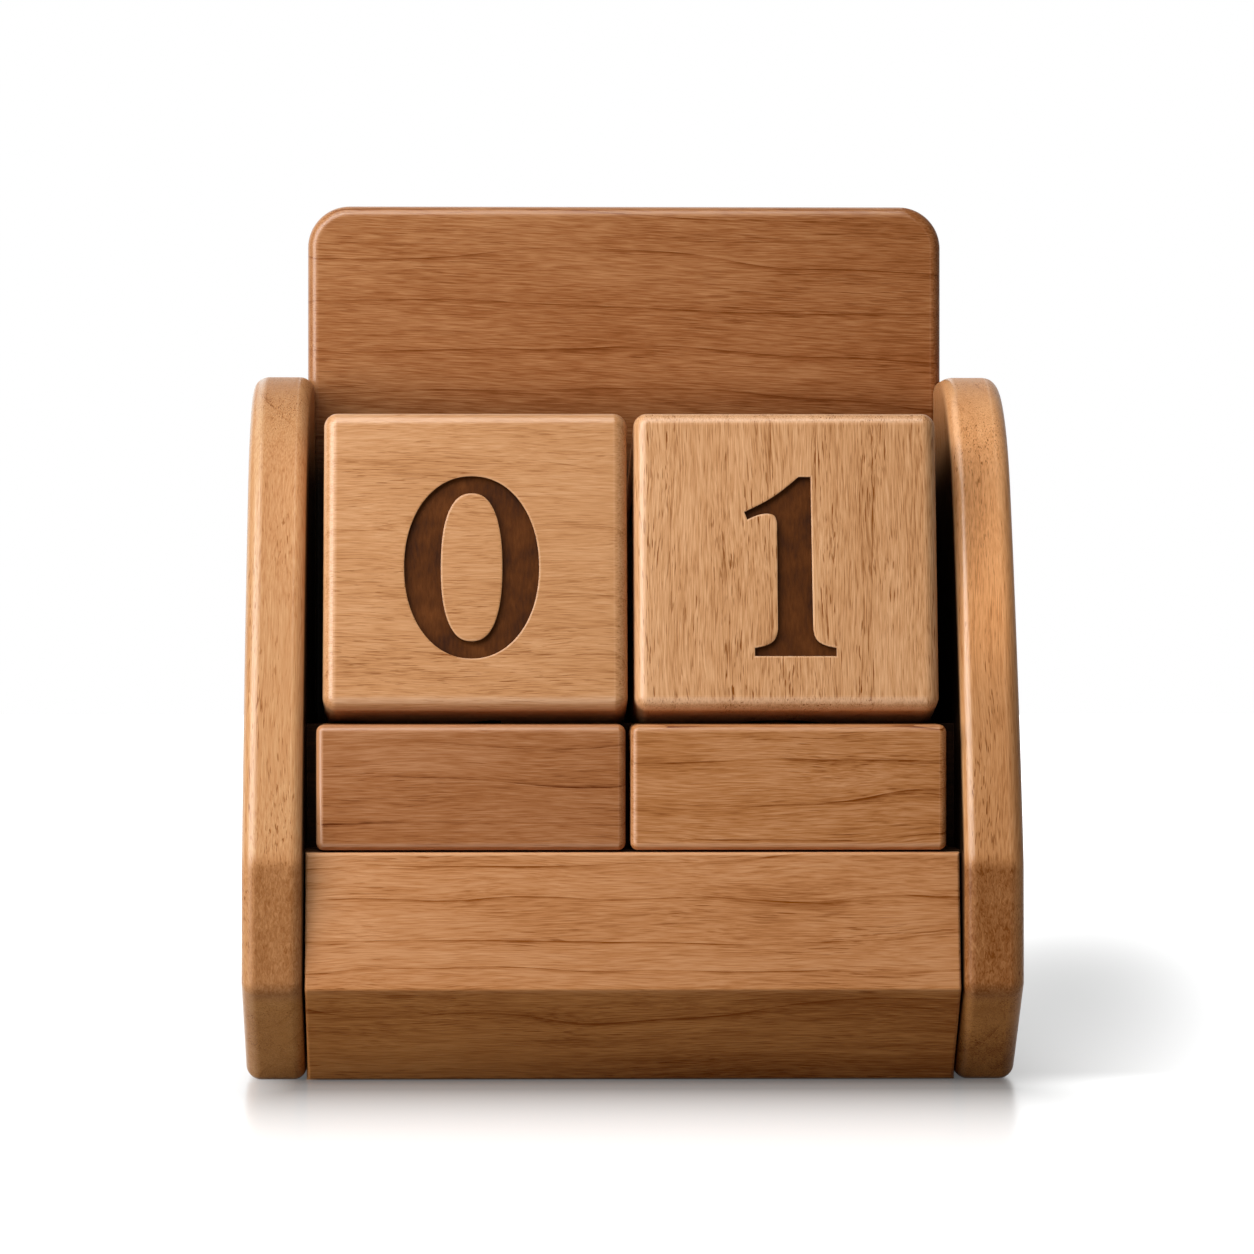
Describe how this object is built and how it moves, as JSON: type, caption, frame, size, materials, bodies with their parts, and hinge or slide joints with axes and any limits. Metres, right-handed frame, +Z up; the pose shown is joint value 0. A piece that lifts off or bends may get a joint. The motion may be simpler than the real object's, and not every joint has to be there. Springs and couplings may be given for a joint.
{
  "type": "desk calendar with drawer",
  "caption": "Wooden perpetual desk calendar with numbered date cubes leaning on a sloping shelf, plain month and weekday bars, a tall back board and a drawer below.",
  "frame": {"origin": "middle of the footprint, on the table", "axes": "+X to the right seen from the front, +Y towards the back board, +Z up; the drawer opens towards -Y"},
  "size_m": [0.1274, 0.076, 0.1481],
  "materials": {
    "panel_wood": "fine grain running up the panel, satin oil finish",
    "back_wood": "fine level grain with darker streaks, satin oil finish",
    "case_wood": "plain sawn and sanded wood, oiled",
    "drawer_front_wood": "level grain with darker streaks, satin oil finish",
    "drawer_box_wood": "planed pale wood, unfinished inside",
    "tens_cube_wood": "light wood with short pores, level grain, numerals stained dark",
    "ones_cube_wood": "light wood with short pores, upright grain, numerals stained dark",
    "month_bar_wood": "reddish level grain, satin oil finish",
    "weekday_bar_wood": "level grain, satin oil finish",
    "dowel_wood": "plain beech dowel"
  },
  "bodies": {
    "case": {"left_side_panel": "panel_wood", "right_side_panel": "panel_wood", "back_board": "back_wood", "base_board": "case_wood", "ledge_board": "case_wood", "cube_shelf": "case_wood", "shelf_front_riser": "case_wood", "shelf_rear_riser": "case_wood", "left_case_dowels": "dowel_wood", "right_case_dowels": "dowel_wood", "back_board_dowels": "dowel_wood"},
    "drawer": {"drawer_front": "drawer_front_wood", "drawer_left_side": "drawer_box_wood", "drawer_right_side": "drawer_box_wood", "drawer_back": "drawer_box_wood", "drawer_bottom": "drawer_box_wood", "drawer_front_dowels": "dowel_wood", "drawer_back_dowels": "dowel_wood"},
    "tens_cube": {"tens_cube": "tens_cube_wood"},
    "ones_cube": {"ones_cube": "ones_cube_wood"},
    "month_bar": {"month_bar": "month_bar_wood"},
    "weekday_bar": {"weekday_bar": "weekday_bar_wood"}
  },
  "joints": [
    {"name": "drawer_slide", "type": "slide", "parent": "case", "child": "drawer", "axis": [0, -1, 0], "range_m": [0, 0.038]},
    {"name": "tens_cube_lift", "type": "slide", "parent": "case", "child": "tens_cube", "axis": [0, 0, 1], "range_m": [0, 0.06]},
    {"name": "ones_cube_lift", "type": "slide", "parent": "case", "child": "ones_cube", "axis": [0, 0, 1], "range_m": [0, 0.06]},
    {"name": "month_bar_slide", "type": "slide", "parent": "case", "child": "month_bar", "axis": [0, -1, 0], "range_m": [0, 0.03]},
    {"name": "weekday_bar_slide", "type": "slide", "parent": "case", "child": "weekday_bar", "axis": [0, -1, 0], "range_m": [0, 0.03]}
  ]
}
